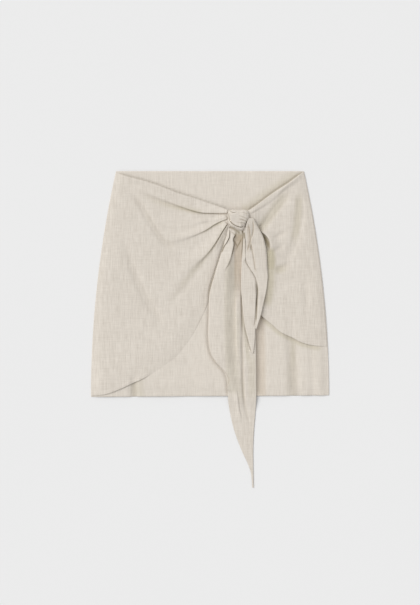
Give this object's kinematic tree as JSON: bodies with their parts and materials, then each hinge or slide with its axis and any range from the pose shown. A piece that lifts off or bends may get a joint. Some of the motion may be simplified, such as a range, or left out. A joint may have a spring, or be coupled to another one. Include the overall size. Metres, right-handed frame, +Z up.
{
  "type": "wrap skirt",
  "caption": "Short wrap skirt laid flat, its front wraps drawn across a plain underskirt to a knot beside the middle, with free tails hanging from it.",
  "frame": {"origin": "middle of the whole outline's box, on the surface the skirt lies on", "axes": "+X to the wearer's left, +Y from the hem to the waist, +Z up out of the front of the skirt"},
  "size_m": [0.475, 0.632, 0.0228],
  "materials": {
    "wrap": "slubby plain-weave linen blend, matt with a faint sheen",
    "underskirt": "the same slubby plain-weave linen blend"
  },
  "bodies": {
    "root": {"back_panel": "underskirt", "front_panel": "underskirt", "wrap_panel_right": "wrap", "wrap_panel_left": "wrap", "tail_long": "wrap", "tail_short_under": "wrap", "tail_short_top": "wrap", "knot": "wrap"}
  },
  "joints": []
}
